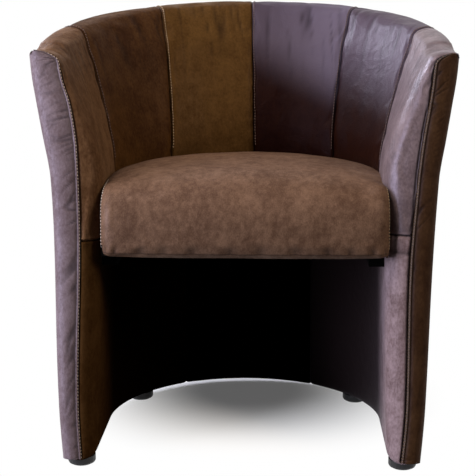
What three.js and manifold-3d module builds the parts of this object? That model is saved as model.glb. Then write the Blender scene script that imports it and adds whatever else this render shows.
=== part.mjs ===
// Tub chair: a U-shaped upholstered wall round a fixed crowned seat, on four round glides.
// Millimetres, +Z up, +X to the right as seen from the front, +Y towards the back.
// The origin is on the floor, at the middle of the chair's width and depth.
// Left and right in the names are those of someone who stands before the chair.
import * as THREE from 'three';
import Module from 'manifold-3d';
import { mergeVertices } from 'three/addons/utils/BufferGeometryUtils.js';

const wasm = await Module();
wasm.setup();

// Driving dimensions of the wall
const backRim = 757;
const sideRim = 695;
const frontDrop = 22;
const frontRim = sideRim - frontDrop;
const seatLine = 480;
const baseOuter = 291;
const baseThick = 48.5;
const baseInner = baseOuter - baseThick;
const armFlare = 57.5;
const backFlare = 107.5;
const armInnerFlare = 57.5;
const backInnerFlare = 101;
const arcCentre = 193;
const frontLeanShare = 0.165;
const facingWidth = 43;
const noseDepth = 45;
const footHeight = 15;

// Heights where the wall's profile bends, for a wall as high as the back
const ankleLevel = 100;
const kneeLevel = 330;
const lumbarLevel = 560;
const shoulderLevel = 640;
const neckLevel = 700;
const levels = [0, ankleLevel, kneeLevel, seatLine, lumbarLevel, shoulderLevel, neckLevel, backRim];
const armOuterShares = [-0.01, 0.14, 0.31, 0.48, 0.65, 0.81, 0.93, 1];
const backOuterShares = [0.01, 0.08, 0.17, 0.33, 0.47, 0.62, 0.77, 1];
const armInnerShares = [0, -0.04, -0.1, -0.11, 0.13, 0.48, 0.79, 1.18];
const backInnerShares = [0, 0, -0.03, -0.08, 0.09, 0.39, 0.69, 1.26];
const facingShares = [0.72, 0.67, 0.91, 0.92, 1, 1.01, 0.93, 0.93];
const rimInnerShare = 0.62;
const rimInnerRise = 28;
const rimOuterRise = 12;
const seamInnerShare = 0.75;
const seamRise = 35;

// Layers of the wall, from the covers to the frame
const gap = 0.3;
const coverThick = 1.8;
const outerWaddingThick = 4;
const lowerWaddingThick = 2.9;
const boardThick = 3;
const facingPadThick = 8;
const facingTipShare = 0.6;
const rollClear = 2.2;
const frameDepth = 30;
const frameTaper = 4;
const postInset = 12;
const railThick = 18;
const seatRailThick = 26;
const ribThick = 18;
const stripThick = 1.6;
const flapWidth = 14;
const hem = 6;
const liningRise = 32;

// Angles round the back, in degrees from its middle; past a quarter turn the wall runs straight
const quarter = 90;
const legEnd = 180;
const frontEnd = 225;
const gridAngle = 10;
const middleSeamAngle = 0;
const backSeamAngle = 40;
const sideSeamAngle = 80;
const leanAngles = [0, backSeamAngle, sideSeamAngle, quarter];
const seamLeans = [0, 7.5, 9, 0];
const outerSeamAngle = 60;
const liningSeamAngle = 30;
const ribAngles = { left_side: -90, left_back: -50, centre: 0, right_back: 50, right_side: 90 };
const rimAngles = [0, 30, 60, 90, 120, 150, 180];
const noseAngles = [30, 60, 90];

// Seat
const seatSide = 11;
const seatHalf = baseInner - seatSide;
const seatFront = 48;
const seatUnderside = 346;
const seatHigh = 116;
const seatEdge = seatUnderside + seatHigh;
const seatCrown = 25;
const seatBulge = 9;
const seatFrameThick = 18;
const seatFrameWidth = 55;
const waterfallDepth = 66;
const faceLean = 3.5;
const dustInset = 24;
const dustThick = 1;
const webWidth = 60;
const webThick = 1.2;
const webSpacing = 116;
const webRamp = 8;

// Ledge, screws and glides
const ledgeLap = 19.2;
const ledgeHigh = 24;
const screwAngles = { left: -quarter, back: 0, right: quarter };
const screwRadius = 2;
const screwLength = 38;
const screwHeadRadius = 4.5;
const screwHeadHigh = 2.6;
const screwClear = 0.3;
const footRadius = 23;
const footFloor = 17.5;
const footDome = 5;
const frontFootBack = 30;
const rearFootAngle = 51;
const pinRadius = 2.5;
const pinRise = 12;
const overrun = 5;

// Finishes
const leather = { color: 0x5b4436, roughness: 0.55, metalness: 0 };
const lining = { color: 0x3a2b20, roughness: 0.6, metalness: 0 };
const plywood = { color: 0xb58f63, roughness: 0.75, metalness: 0 };
const hardboard = { color: 0x7a5a3c, roughness: 0.8, metalness: 0 };
const foam = { color: 0xe2d9b8, roughness: 0.95, metalness: 0 };
const wadding = { color: 0xeeeeea, roughness: 1, metalness: 0 };
const webbing = { color: 0x3f3a36, roughness: 0.9, metalness: 0 };
const blackCloth = { color: 0x17171a, roughness: 0.95, metalness: 0 };
const blackPlastic = { color: 0x101012, roughness: 0.4, metalness: 0 };
const steel = { color: 0xb9bcc0, roughness: 0.35, metalness: 1 };

const radians = THREE.MathUtils.degToRad;
const lerp = THREE.MathUtils.lerp;

// The wall's outer depth behind the front plane and its middle, which the origin stands under
const wallDepth = arcCentre + outer(0, backRim - rimOuterRise);
const chair = new THREE.Group();
chair.position.y = -wallDepth / 2;

function add(name, geometry, finish) {
  const mesh = new THREE.Mesh(geometry, new THREE.MeshStandardMaterial({ ...finish, flatShading: true }));
  mesh.name = name;
  chair.add(mesh);
  return mesh;
}

// Value of a table of shares at a height between the profile's levels
function shareAt(shares, h) {
  const last = levels.length - 2;
  const k = Math.min(levels.findLastIndex((level) => level <= h), last);
  return lerp(shares[k], shares[k + 1], (h - levels[k]) / (levels[k + 1] - levels[k]));
}

// 1 at the middle of the back, 0 on the arms
function backShare(s) {
  return Math.cos(radians(Math.min(Math.abs(s), quarter))) ** 2;
}

// Half-widths of the visible outer and inner surfaces
function outer(s, h) {
  const arm = armFlare * shareAt(armOuterShares, h);
  return baseOuter + lerp(arm, backFlare * shareAt(backOuterShares, h), backShare(s));
}

function inner(s, h) {
  const arm = armInnerFlare * shareAt(armInnerShares, h);
  return baseInner + lerp(arm, backInnerFlare * shareAt(backInnerShares, h), backShare(s));
}

function frontAt(z) {
  return frontLeanShare * (z - footHeight);
}

function rimHeight(s) {
  const turn = Math.min(Math.abs(s), quarter);
  const along = Math.max(Math.abs(s) - quarter, 0) / (frontEnd - quarter);
  return lerp(sideRim, backRim, Math.cos(radians(turn))) - along * (sideRim - frontRim);
}

// Real height: above the seat line the profile shrinks with the rim, which falls to the front
function heightAt(s, h) {
  const share = (rimHeight(s) - seatLine) / (backRim - seatLine);
  return h <= seatLine ? h : seatLine + (h - seatLine) * share;
}

// Point at station s, half-width r and profile height h
function spot(s, r, h) {
  const side = Math.sign(s) || 1;
  const turn = radians(Math.min(Math.abs(s), quarter));
  const z = heightAt(s, h);
  const front = frontAt(z);
  const leg = Math.min(Math.max(Math.abs(s) - quarter, 0) / (legEnd - quarter), 1);
  const nose = Math.max(Math.abs(s) - legEnd, 0) / (frontEnd - legEnd);
  const straight = leg * (arcCentre - front - noseDepth) + nose * noseDepth;
  return new THREE.Vector3(side * r * Math.sin(turn), arcCentre + r * Math.cos(turn) - straight, z);
}

// Station that lies a given distance behind the arm's front plane, inside the nose
function behind(distance) {
  return frontEnd - ((frontEnd - legEnd) * distance) / noseDepth;
}

// The sewn panels lean: their seams stand steeper than the wall does
function leaned(s, h) {
  const share = Math.max(h - seatLine, 0) / (backRim - seatLine);
  const turn = Math.min(Math.abs(s), quarter);
  const k = Math.min(leanAngles.findLastIndex((angle) => angle <= turn), leanAngles.length - 2);
  const along = (turn - leanAngles[k]) / (leanAngles[k + 1] - leanAngles[k]);
  return s - Math.sign(s) * share * lerp(seamLeans[k], seamLeans[k + 1], along);
}

function fromOuter(depth) {
  return (s, h) => spot(s, outer(s, h) - depth, h);
}

function fromInner(depth) {
  return (s, h) => spot(leaned(s, h), inner(leaned(s, h), h) + depth, h);
}

const grid = [-legEnd];
for (let s = -quarter; s <= quarter; s += gridAngle) grid.push(s);
grid.push(legEnd);

function stations(from, to) {
  return [from, ...grid.filter((s) => s > from && s < to), to];
}

// Heights at which a surface bends, between two heights: every layer bends at the same ones
function levelsFrom(low, high) {
  const knots = [...levels.slice(0, -1), topRailTop, backRim];
  return [low, ...knots.filter((h) => h > low && h < high), high];
}

// Corners are ranked from low and front to high and back, alike in every layer
const frontness = 0.3;
function rank(p) {
  return p.z + frontness * p.y;
}

// Closed body through rings of points, capped at both ends; each quad splits at its lowest corner
function loft(rings, fill = ladder) {
  const count = rings[0].length;
  const points = rings.flat();
  const faces = [];
  for (let i = 0; i + 1 < rings.length; i += 1) {
    for (let j = 0; j < count; j += 1) {
      const next = (j + 1) % count;
      const a = i * count + j;
      const b = i * count + next;
      const c = a + count;
      const d = b + count;
      const lowest = [b, c, d].reduce((best, k) => (rank(points[k]) < rank(points[best]) ? k : best), a);
      const crossed = lowest === a || lowest === d;
      faces.push(...(crossed ? [a, b, d, a, d, c] : [a, b, c, b, d, c]));
    }
  }
  faces.push(...fill(rings[0], 0).reverse(), ...fill(rings.at(-1), points.length - count));
  return body(points, faces);
}

// Triangles between the two halves of a ring that goes up one side of a layer and down the other
function ladder(ring, start) {
  const last = ring.length - 1;
  return Array.from({ length: ring.length / 2 - 1 }, (_, k) => [
    k, k + 1, last - k, k + 1, last - k - 1, last - k,
  ]).flat().map((k) => k + start);
}

// Triangles that fill a ring, worked out in the plane it lies nearest to
function cap(ring, start) {
  const normal = new THREE.Vector3();
  ring.forEach((p, k) => normal.add(p.clone().cross(ring[(k + 1) % ring.length])));
  normal.normalize();
  const turn = new THREE.Quaternion().setFromUnitVectors(normal, new THREE.Vector3(0, 0, 1));
  const flat = ring.map((p) => p.clone().applyQuaternion(turn));
  const triangles = THREE.ShapeUtils.triangulateShape(flat.map((p) => new THREE.Vector2(p.x, p.y)), []);
  return triangles.flat().map((k) => k + start);
}

// Indexed geometry whose faces point outwards
function body(points, faces) {
  let volume = 0;
  for (let k = 0; k < faces.length; k += 3) {
    const [a, b, c] = [points[faces[k]], points[faces[k + 1]], points[faces[k + 2]]];
    volume += a.dot(b.clone().cross(c));
  }
  if (volume < 0) faces.reverse();
  const geometry = new THREE.BufferGeometry().setFromPoints(points);
  geometry.setIndex(faces);
  return geometry;
}

// Stretch of the wall between two surfaces, from one station and height to another
function wall(from, to, low, high, outSpot, inSpot) {
  const heights = levelsFrom(low, high);
  return loft(stations(from, to).map((s) => [
    ...heights.map((h) => outSpot(s, h)),
    ...heights.map((h) => inSpot(s, h)).reverse(),
  ]));
}

function manifold(geometry) {
  const bare = geometry.clone();
  bare.deleteAttribute('normal');
  bare.deleteAttribute('uv');
  const merged = mergeVertices(bare);
  const vertProperties = new Float32Array(merged.attributes.position.array);
  const triVerts = new Uint32Array(merged.index.array);
  return new wasm.Manifold(new wasm.Mesh({ numProp: 3, vertProperties, triVerts }));
}

// Cuts round holes along Z: each hole is [x, y, radius, low, high]
function bored(geometry, holes) {
  let solid = manifold(geometry);
  for (const [x, y, radius, low, high] of holes) {
    const tool = new THREE.CylinderGeometry(radius, radius, high - low, holeSides);
    tool.rotateX(Math.PI / 2).translate(x, y, (low + high) / 2);
    solid = solid.subtract(manifold(tool));
  }
  const cut = solid.getMesh();
  const result = new THREE.BufferGeometry();
  result.setAttribute('position', new THREE.BufferAttribute(cut.vertProperties, 3));
  result.setIndex(new THREE.BufferAttribute(cut.triVerts, 1));
  return result;
}
const holeSides = 16;

// Depths of the layers below the visible outer and inner surfaces
const outerWaddingAt = coverThick + gap;
const outerBoardAt = outerWaddingAt + outerWaddingThick + gap;
const frameAt = outerBoardAt + boardThick + gap;
const lowerBoardAt = coverThick + gap + lowerWaddingThick + gap;
const lowerFrameAt = lowerBoardAt + boardThick + gap;
const postFront = coverThick + gap + facingPadThick + gap;
const postBack = noseDepth - gap;

// Heights of the rails, from the floor up
const stripBottom = footHeight + gap;
const baseRailBottom = stripBottom + stripThick + gap;
const baseRailTop = baseRailBottom + railThick;
const seatFrameBottom = seatUnderside + coverThick + gap;
const liningTop = seatUnderside + liningRise;
const ledgeTop = seatFrameBottom - gap;
const seatRailTop = ledgeTop;
const seatClear = inner(quarter, kneeLevel) - seatHalf + coverThick + gap;
const ledgeDeep = seatClear + ledgeLap;
const seatRailBottom = seatRailTop - seatRailThick;
const topRailTop = backRim - seamRise - railThick / 3;
const topRailBottom = topRailTop - railThick;

// Inner face of the frame above the seat, where the board is fixed
function frameFace(extra) {
  return (s, h) => {
    const share = Math.max(h - seatLine, 0) / (backRim - seatLine);
    return spot(s, outer(s, h) - frameAt - frameDepth + frameTaper * share - extra, h);
  };
}

// Places of the glides: under the arms' fronts and under the round back
const footCircle = (baseInner + baseOuter) / 2;
const rearFoot = spot(rearFootAngle, footCircle, 0);
const feet = {
  foot_front_left: [-footCircle, frontFootBack],
  foot_front_right: [footCircle, frontFootBack],
  foot_rear_left: [-rearFoot.x, rearFoot.y],
  foot_rear_right: [rearFoot.x, rearFoot.y],
};
const pinHoles = Object.values(feet).map(([x, y]) => [
  x, y, pinRadius + screwClear, footHeight - overrun, baseRailTop + overrun,
]);

// Base rail: a flat plywood U that carries the posts and ribs and takes the glides' pins
const railEnd = behind(postFront);
function railInside(s, h) {
  const leg = THREE.MathUtils.clamp((Math.abs(s) - quarter) / (legEnd - quarter), 0, 1);
  const nose = Math.max(Math.abs(s) - legEnd, 0) / (railEnd - legEnd);
  return spot(s, lerp(inner(s, h) + lerp(lowerFrameAt, postInset, leg), seamAt(h, 0).r, nose), h);
}
add('base_rail', bored(
  wall(-railEnd, railEnd, baseRailBottom, baseRailTop, fromOuter(frameAt), railInside), pinHoles,
), plywood);

// Seat rail: a wide plywood U at seat height, between the arm posts
add('seat_rail', wall(
  -legEnd, legEnd, seatRailBottom, seatRailTop, fromOuter(frameAt), fromInner(lowerFrameAt),
), plywood);

// Top rail: follows the falling rim
add('top_rail', wall(
  -railEnd, railEnd, topRailBottom, topRailTop, fromOuter(frameAt), frameFace(0),
), plywood);

// Seam line on the arm's front plane, beside the facing
function seamAt(h, depth) {
  return { r: outer(frontEnd, h) - facingWidth * shareAt(facingShares, h) + depth, h };
}

// Front posts: shaped boards that lean back and spread with the arms, bevelled behind the nose
function postLine(side, distance, clear, h) {
  const deep = (distance - postFront) / (postBack - postFront);
  const r = lerp(seamAt(h, 0).r, inner(legEnd, h) + postInset, THREE.MathUtils.clamp(deep, 0, 1));
  return spot(side * behind(distance), r - clear, h);
}

// Behind the nose the layers also bend where the lining meets the panels
function noseLevels(low, high) {
  return [...levelsFrom(low, liningTop), ...levelsFrom(liningTop, high).slice(1)];
}

function post(side) {
  return loft(noseLevels(baseRailTop + gap, topRailBottom - gap).map((h) => [
    postLine(side, postFront, 0, h),
    fromOuter(frameAt)(side * behind(postFront), h),
    fromOuter(frameAt)(side * behind(postBack), h),
    postLine(side, postBack, 0, h),
  ]));
}
add('front_post_left', post(-1), plywood);
add('front_post_right', post(1), plywood);

// Ribs: upright boards between the rails, each standing on a fold of the faceted wall
function rib(s, low, high, outSpot, inSpot) {
  const heights = levelsFrom(low, high);
  const next = Math.abs(s) === quarter ? legEnd : Math.abs(s) + gridAngle;
  const ahead = Math.sign(s) * next || gridAngle;
  const back = Math.sign(s) * (Math.abs(s) - gridAngle) || -gridAngle;
  const ring = (to) => {
    const across = (near) => heights.map((h) => {
      const start = near(s, h);
      const end = near(to, h);
      const share = to === s ? 0 : ribThick / 2 / start.distanceTo(end);
      return start.lerp(end, share);
    });
    return [...across(outSpot), ...across(inSpot).reverse()];
  };
  return loft([ring(back), ring(s), ring(ahead)]);
}
for (const [name, s] of Object.entries(ribAngles)) {
  const low = [baseRailTop + gap, seatRailBottom - gap];
  const high = [seatRailTop + gap, topRailBottom - gap];
  add(`lower_rib_${name}`, rib(s, ...low, fromOuter(frameAt), fromInner(lowerFrameAt)), plywood);
  add(`upper_rib_${name}`, rib(s, ...high, fromOuter(frameAt), frameFace(0)), plywood);
}

// Boards: thin hardboard bent round the outside and the inside of the frame
const boardBottom = baseRailBottom + hem / 2;
const waddingBottom = stripBottom + 2 * hem;
add('outer_board', wall(
  -railEnd, railEnd, boardBottom, topRailTop,
  fromOuter(outerBoardAt), fromOuter(outerBoardAt + boardThick),
), hardboard);
add('inner_board', wall(
  -legEnd, legEnd, seatRailTop + gap, topRailTop, frameFace(gap), frameFace(gap + boardThick),
), hardboard);
add('lower_inner_board', wall(
  -legEnd, legEnd, boardBottom, seatRailTop,
  fromInner(lowerBoardAt + boardThick), fromInner(lowerBoardAt),
), hardboard);

// Wadding under the outer cover and the lower lining
add('outer_wadding', wall(
  -railEnd, railEnd, waddingBottom, topRailTop,
  fromOuter(outerWaddingAt), fromOuter(outerWaddingAt + outerWaddingThick),
), wadding);
add('lower_wadding', wall(
  -legEnd, legEnd, waddingBottom, seatRailTop,
  fromInner(coverThick + gap + lowerWaddingThick), fromInner(coverThick + gap),
), wadding);

// Foam pads on the inner board, under the sewn panels
const foamBack = frameFace(gap + boardThick + gap);
function pad(from, to) {
  return wall(from, to, seatRailTop + gap, topRailTop, foamBack, fromInner(coverThick + gap));
}
const padGap = gap / 4;
add('arm_foam_left', pad(-legEnd, -sideSeamAngle - padGap), foam);
add('back_foam', pad(-sideSeamAngle + padGap, sideSeamAngle - padGap), foam);
add('arm_foam_right', pad(sideSeamAngle + padGap, legEnd), foam);

// Rounded rim: a quarter ellipse up from the inside and a tighter one down to the outer edge
function rimPoint(inside, outside, angle, depth, innerShare, rise) {
  const inward = angle <= quarter;
  const wide = (outside - inside) * (inward ? innerShare : 1 - innerShare);
  const tall = inward ? rise : rimOuterRise;
  const crest = lerp(inside, outside, innerShare);
  return {
    r: crest - (wide - depth) * Math.cos(radians(angle)),
    h: backRim - tall + (tall - depth) * Math.sin(radians(angle)),
  };
}

// Profile of the inside surface and over the rim, at a depth below the surface
function innerProfile(s, low, depth) {
  const face = levelsFrom(low, topRailTop).map((h) => ({ r: inner(leaned(s, h), h) + depth, h }));
  return [...face, ...rimAngles.map((angle) => rimAt(leaned(s, backRim), angle, depth))];
}

// The rim starts where the wall's inside and outside profiles reach its two edges
function rimAt(s, angle, depth) {
  const inside = inner(s, backRim - rimInnerRise);
  return rimPoint(inside, outer(s, backRim - rimOuterRise), angle, depth, rimInnerShare, rimInnerRise);
}

// The seam line's top, round the arm's outer top corner
function seamTop(angle, depth) {
  const inside = seamAt(backRim - seamRise, 0).r;
  const outside = outer(frontEnd, backRim - rimOuterRise);
  return rimPoint(inside, outside, angle, depth, seamInnerShare, seamRise);
}

function seamProfile(low, depth) {
  const face = levelsFrom(low, topRailTop).map((h) => seamAt(h, depth));
  return [...face, ...rimAngles.map((angle) => seamTop(angle, depth))];
}

// The nose turns from the arm's inside to the seam on its front plane
function nosePoint(side, from, to, angle, depth) {
  const start = spot(side * legEnd, from.r, from.h);
  const end = spot(side * frontEnd, to.r, to.h);
  end.y += depth;
  const across = 1 - Math.cos(radians(angle));
  return new THREE.Vector3(
    lerp(start.x, end.x, across),
    lerp(start.y, end.y, Math.sin(radians(angle))),
    lerp(start.z, end.z, across),
  );
}

function wallSkin(s, low, depth) {
  return innerProfile(s, low, depth).map(({ r, h }) => spot(leaned(s, h), r, h));
}

function noseSkin(side, angle, low, depth) {
  const seam = seamProfile(low, depth);
  return innerProfile(side * legEnd, low, depth).map((from, k) => nosePoint(side, from, seam[k], angle, depth));
}

function panel(from, to) {
  const low = liningTop + gap / 2;
  const ring = (skin) => [...skin(0), ...skin(coverThick).reverse()];
  const rings = stations(Math.max(from, -legEnd), Math.min(to, legEnd))
    .map((s) => ring((depth) => wallSkin(s, low, depth)));
  const nose = (side) => noseAngles.map((angle) => ring((depth) => noseSkin(side, angle, low, depth)));
  if (from === -frontEnd) rings.unshift(...nose(-1).reverse());
  if (to === frontEnd) rings.push(...nose(1));
  return loft(rings);
}

// Sewn inside panels, from the left arm's front round to the right
const panels = {
  inner_panel_arm_left: [-frontEnd, -sideSeamAngle - padGap],
  inner_panel_side_left: [-sideSeamAngle + padGap, -backSeamAngle - padGap],
  inner_panel_back_left: [-backSeamAngle + padGap, middleSeamAngle - padGap],
  inner_panel_back_right: [middleSeamAngle + padGap, backSeamAngle - padGap],
  inner_panel_side_right: [backSeamAngle + padGap, sideSeamAngle - padGap],
  inner_panel_arm_right: [sideSeamAngle + padGap, frontEnd],
};
for (const [name, [from, to]] of Object.entries(panels)) add(name, panel(from, to), leather);

// Rim roll: soft edge on the top rail, under the panels where they turn over
function rimRoll() {
  const depth = coverThick + gap;
  const low = topRailTop + 3 * gap;
  const clear = (angle) => (angle > quarter ? depth + rollClear : depth);
  const section = (s) => [
    spot(leaned(s, low), inner(leaned(s, low), low) + depth, low),
    ...rimAngles.map((angle) => {
      const p = rimAt(leaned(s, backRim), angle, clear(angle));
      return spot(leaned(s, p.h), p.r, p.h);
    }),
    spot(s, outer(s, low) - clear(legEnd), low),
  ];
  const noseSection = (side, angle) => {
    const from = (h) => ({ r: inner(legEnd, h) + depth, h });
    const edge = (h) => ({ r: outer(frontEnd, h) - clear(legEnd), h });
    return [
      nosePoint(side, from(low), seamAt(low, depth), angle, depth),
      ...rimAngles.map((turn) => nosePoint(
        side, rimAt(legEnd, turn, clear(turn)), seamTop(turn, clear(turn)), angle, depth,
      )),
      nosePoint(side, edge(low), edge(low), angle, depth),
    ];
  };
  return loft([
    ...noseAngles.map((angle) => noseSection(-1, angle)).reverse(),
    ...stations(-legEnd, legEnd).map(section),
    ...noseAngles.map((angle) => noseSection(1, angle)),
  ], cap);
}
add('rim_roll', rimRoll(), foam);

// Nose foam: soft round edge of each arm, hooked round its post
function noseFoam(side) {
  const depth = coverThick + gap;
  const padBack = postFront - gap;
  return loft(noseLevels(baseRailTop + gap, topRailTop).map((h) => {
    const from = { r: inner(legEnd, h) + depth, h };
    const start = nosePoint(side, from, seamAt(h, depth), 0, depth);
    start.y -= gap;
    return [
      start,
      ...noseAngles.map((angle) => nosePoint(side, from, seamAt(h, depth), angle, depth)),
      spot(side * behind(padBack), seamAt(h, depth).r, h),
      postLine(side, padBack, gap, h),
      postLine(side, postBack, gap * 2, h),
    ];
  }), cap);
}
add('nose_foam_left', noseFoam(-1), foam);
add('nose_foam_right', noseFoam(1), foam);

// Facing pads on the posts' fronts and the leather facings over them
function facingPad(side) {
  const near = coverThick + gap;
  const far = postFront - gap;
  const edge = (h, distance) => spot(side * behind(distance), outer(frontEnd, h) - near, h);
  const seam = (h, distance) => spot(side * behind(distance), seamAt(h, near + gap).r, h);
  return loft(levelsFrom(waddingBottom, topRailTop).map((h) => [
    seam(h, near), edge(h, near), edge(h, far), seam(h, far),
  ]));
}
add('facing_pad_left', facingPad(-1), foam);
add('facing_pad_right', facingPad(1), foam);

function facing(side) {
  const depth = coverThick + 2 * gap;
  const crest = seamTop(quarter, depth);
  const descent = rimAngles.filter((angle) => angle >= quarter).map((angle) => seamTop(angle, depth));
  const across = (h) => {
    const k = Math.min(Math.max(descent.findIndex((p) => p.h <= h), 1), descent.length - 1);
    const [a, b] = [descent[k - 1], descent[k]];
    return { r: lerp(b.r, a.r, THREE.MathUtils.clamp((h - b.h) / (a.h - b.h), 0, 1)), h };
  };
  const row = (inside, outside) => [0, coverThick].flatMap((distance) => {
    const pair = [inside, outside].map(({ r, h }) => spot(side * behind(distance), r, h));
    return distance === 0 ? pair : pair.reverse();
  });
  const foot = stripBottom + hem;
  const drawn = hem / 3;
  const face = levelsFrom(waddingBottom, topRailTop)
    .map((h) => row(seamAt(h, depth), { r: outer(frontEnd, h) - depth, h }));
  const climb = rimAngles.filter((angle) => angle < quarter).map((angle) => seamTop(angle, depth));
  const last = climb.at(-1);
  climb.push({ r: lerp(last.r, crest.r, facingTipShare), h: lerp(last.h, crest.h, facingTipShare) });
  return loft([
    row(seamAt(foot, depth + drawn), { r: outer(frontEnd, foot) - depth - drawn, h: foot }),
    ...face,
    ...climb.map((inside) => row(inside, across(inside.h))),
  ]);
}
add('facing_left', facing(-1), leather);
add('facing_right', facing(1), leather);

// Outer cover in three panels: its foot turns under the base rail, its top meets the inner panels
function outerCover(from, to) {
  const high = backRim - rimOuterRise - 2 * gap;
  const heights = levelsFrom(waddingBottom, high);
  const turned = (s, depth) => [
    spot(s, outer(s, 0) - flapWidth, stripBottom + depth),
    spot(s, outer(s, 0) - hem - depth / 2, stripBottom + depth),
    spot(s, outer(s, 0) - hem / 4 - depth, stripBottom + hem / 2 + depth / 2),
  ];
  const side = (s, depth) => heights.map((h) => fromOuter(depth)(s, h));
  return loft(stations(from, to).map((s) => [
    ...turned(s, 0), ...side(s, 0), ...side(s, coverThick).reverse(), ...turned(s, coverThick).reverse(),
  ]));
}
add('outer_cover_left', outerCover(-frontEnd, -outerSeamAngle - padGap), leather);
add('outer_cover_back', outerCover(-outerSeamAngle + padGap, outerSeamAngle - padGap), leather);
add('outer_cover_right', outerCover(outerSeamAngle + padGap, frontEnd), leather);

// Lower lining inside the U below the seat, turned under like the outer cover
function lowerLining(from, to) {
  const heights = levelsFrom(waddingBottom, liningTop - gap / 2);
  const turned = (depth) => [
    { r: flapWidth, h: stripBottom + depth },
    { r: hem + depth / 2, h: stripBottom + depth },
    { r: hem / 4 + depth, h: stripBottom + (hem + depth) / 2 },
  ];
  const skin = (s, depth) => [
    ...turned(depth).map(({ r, h }) => ({ r: inner(s, 0) + r, h })),
    ...heights.map((h) => ({ r: inner(s, h) + depth, h })),
  ];
  const ring = (draw) => [...draw(0), ...draw(coverThick).reverse()];
  const along = (s) => ring((depth) => skin(s, depth).map(({ r, h }) => spot(s, r, h)));
  const nose = (side, angle) => ring((depth) => skin(legEnd, depth).map((from, k) => {
    const low = k < 3;
    const seam = seamAt(low ? from.h : heights[k - 3], depth);
    const end = low ? { r: seam.r + from.r - inner(legEnd, 0) - depth, h: from.h } : seam;
    const point = nosePoint(side, from, end, angle, depth);
    if (low) point.y += (from.r - inner(legEnd, 0) - depth) * Math.sin(radians(angle));
    return point;
  }));
  const rings = stations(Math.max(from, -legEnd), Math.min(to, legEnd)).map(along);
  if (from === -frontEnd) rings.unshift(...noseAngles.map((angle) => nose(-1, angle)).reverse());
  if (to === frontEnd) rings.push(...noseAngles.map((angle) => nose(1, angle)));
  return loft(rings);
}
add('lower_lining_left', lowerLining(-frontEnd, -liningSeamAngle - padGap), lining);
add('lower_lining_back', lowerLining(-liningSeamAngle + padGap, liningSeamAngle - padGap), lining);
add('lower_lining_right', lowerLining(liningSeamAngle + padGap, frontEnd), lining);

// Base strip: black cloth under the base rail, between the covers' turned edges
add('base_strip', bored(wall(
  -legEnd, legEnd, stripBottom, stripBottom + stripThick,
  (s, h) => spot(s, outer(s, 0) - flapWidth - gap, h),
  (s, h) => spot(s, inner(s, 0) + flapWidth + gap, h),
), pinHoles), blackCloth);

// Glides: domed discs, each moulded round the pin that goes up into the base rail
const footProfile = [
  [0, 0], [footFloor, 0], [footRadius - footDome / 4, footDome / 2], [footRadius, footDome],
  [footRadius, footHeight], [pinRadius, footHeight], [pinRadius, baseRailBottom + pinRise],
  [0, baseRailBottom + pinRise],
].map(([r, z]) => new THREE.Vector2(r, z));
const footSides = 24;
for (const [name, [x, y]] of Object.entries(feet)) {
  const glide = new THREE.LatheGeometry(footProfile, footSides).rotateX(Math.PI / 2);
  add(name, glide, blackPlastic).position.set(x, y, 0);
}

// Seat ledge: a batten bent round the lining's inside that carries the seat frame
const ledgeBottom = ledgeTop - ledgeHigh;
const screwInset = (ledgeDeep + seatClear) / 2;
const screws = Object.fromEntries(Object.entries(screwAngles).map(([name, s]) => {
  const { x, y } = spot(s, inner(s, ledgeBottom) - screwInset, ledgeBottom);
  return [name, [x, y]];
}));
const screwHoles = Object.values(screws).map(([x, y]) => [
  x, y, screwRadius + screwClear, ledgeBottom - overrun, seatFrameBottom + seatFrameThick + overrun,
]);
add('seat_ledge', bored(
  wall(-legEnd, legEnd, ledgeBottom, ledgeTop, fromInner(-gap), fromInner(-ledgeDeep)), screwHoles,
), plywood);

// Outline of the seat in plan, inset all round: a straight front, straight sides and a round back
const seatAngle = 15;
const seatColumns = [];
for (let a = -quarter; a <= quarter; a += seatAngle) seatColumns.push(a);
function seatOutline(inset) {
  const half = seatHalf - inset;
  const arc = seatColumns.map((a) => new THREE.Vector2(
    half * Math.sin(radians(a)), arcCentre + half * Math.cos(radians(a)),
  ));
  const front = seatFront + inset + faceLean;
  return [new THREE.Vector2(-half, front), ...arc, new THREE.Vector2(half, front)];
}

function seatPlate(inset, width, bottom, thick) {
  const shape = new THREE.Shape(seatOutline(inset));
  if (width) shape.holes.push(new THREE.Path(seatOutline(inset + width).reverse()));
  return new THREE.ExtrudeGeometry(shape, { depth: thick, bevelEnabled: false }).translate(0, 0, bottom);
}
const coverClear = coverThick + gap;
add('seat_frame', bored(
  seatPlate(coverClear, seatFrameWidth, seatFrameBottom, seatFrameThick), screwHoles,
), plywood);
add('seat_dust_cloth', seatPlate(dustInset, 0, seatFrameBottom - gap - dustThick, dustThick), blackCloth);

// Screws up through the cleats into the seat frame
function screw([x, y]) {
  const profile = [
    [0, -screwHeadHigh], [screwHeadRadius * 0.7, -screwHeadHigh], [screwHeadRadius, 0],
    [screwRadius, 0], [screwRadius, screwLength - screwRadius], [0, screwLength],
  ].map(([r, z]) => new THREE.Vector2(r, z));
  return new THREE.LatheGeometry(profile, screwSides).rotateX(Math.PI / 2).translate(x, y, ledgeBottom - gap);
}
const screwSides = 12;
for (const [name, place] of Object.entries(screws)) add(`seat_screw_${name}`, screw(place), steel);

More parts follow.
